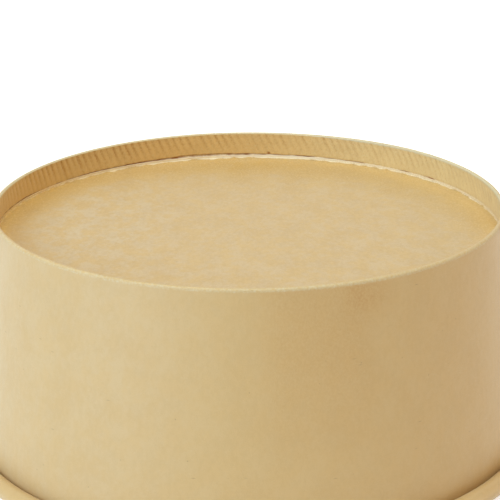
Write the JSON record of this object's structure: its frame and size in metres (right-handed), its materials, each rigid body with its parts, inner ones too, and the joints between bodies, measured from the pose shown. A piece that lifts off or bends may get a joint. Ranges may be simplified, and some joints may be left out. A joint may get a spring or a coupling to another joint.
{
  "type": "paper bowl",
  "caption": "Round kraft board bowl with a tapered wall, a rolled rim and a recessed base in a folded, ribbed ring, standing upside down on its rim.",
  "frame": {"origin": "centre of the mouth, in the plane that the rolled rim rests on", "axes": "+Z along the bowl's axis from the mouth to the base, so the base is up as in the picture; the lapped side seam is at 184 degrees from +X towards +Y"},
  "size_m": [0.15, 0.15, 0.0602],
  "materials": {
    "wall_board": "matte uncoated kraft outside, thin clear film inside",
    "base_board": "matte uncoated kraft outside, thin clear film inside"
  },
  "bodies": {
    "root": {"side_wall": "wall_board", "base_disc": "base_board"}
  },
  "joints": []
}
